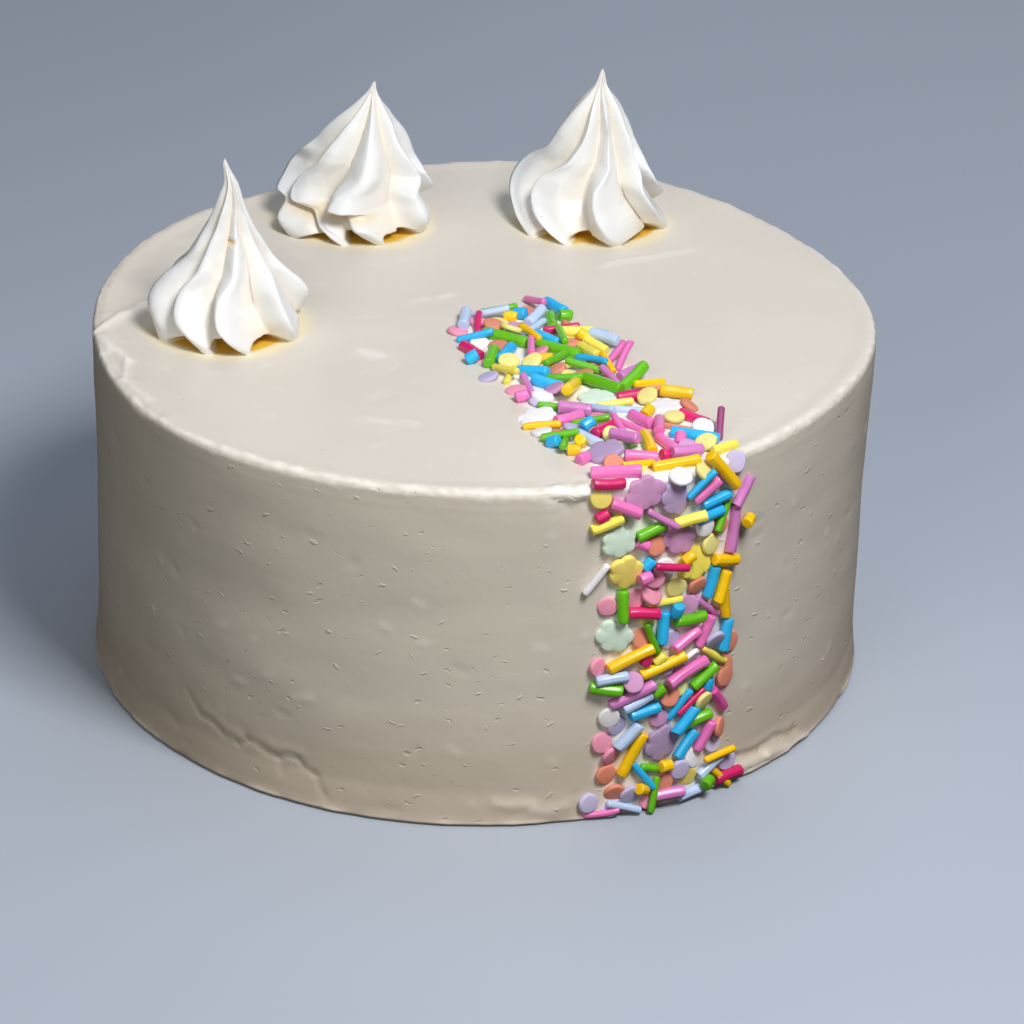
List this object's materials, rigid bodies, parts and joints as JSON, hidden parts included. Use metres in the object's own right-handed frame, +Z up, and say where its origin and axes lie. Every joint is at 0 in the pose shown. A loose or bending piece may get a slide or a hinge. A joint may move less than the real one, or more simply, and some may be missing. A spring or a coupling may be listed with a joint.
{
  "type": "confetti cake",
  "caption": "Round iced cake with piped swirls near the back rim and a band of confetti sprinkles over the top and down the side.",
  "frame": {"origin": "centre of the flat base, on the cake's axis", "axes": "+Z up through the cake; -Y towards the side where the band of sprinkles runs down"},
  "size_m": [0.1937, 0.1965, 0.1331],
  "materials": {
    "icing": "soft satin buttercream, spread with a spatula",
    "swirl_cream": "glossy piped cream, slightly translucent",
    "sprinkle_matte": "matte pressed sugar in pastel colours",
    "sprinkle_gloss": "glossy coloured sugar strands"
  },
  "bodies": {
    "root": {"cake": "icing", "swirl_left": "swirl_cream", "swirl_middle": "swirl_cream", "swirl_right": "swirl_cream"}
  },
  "joints": []
}
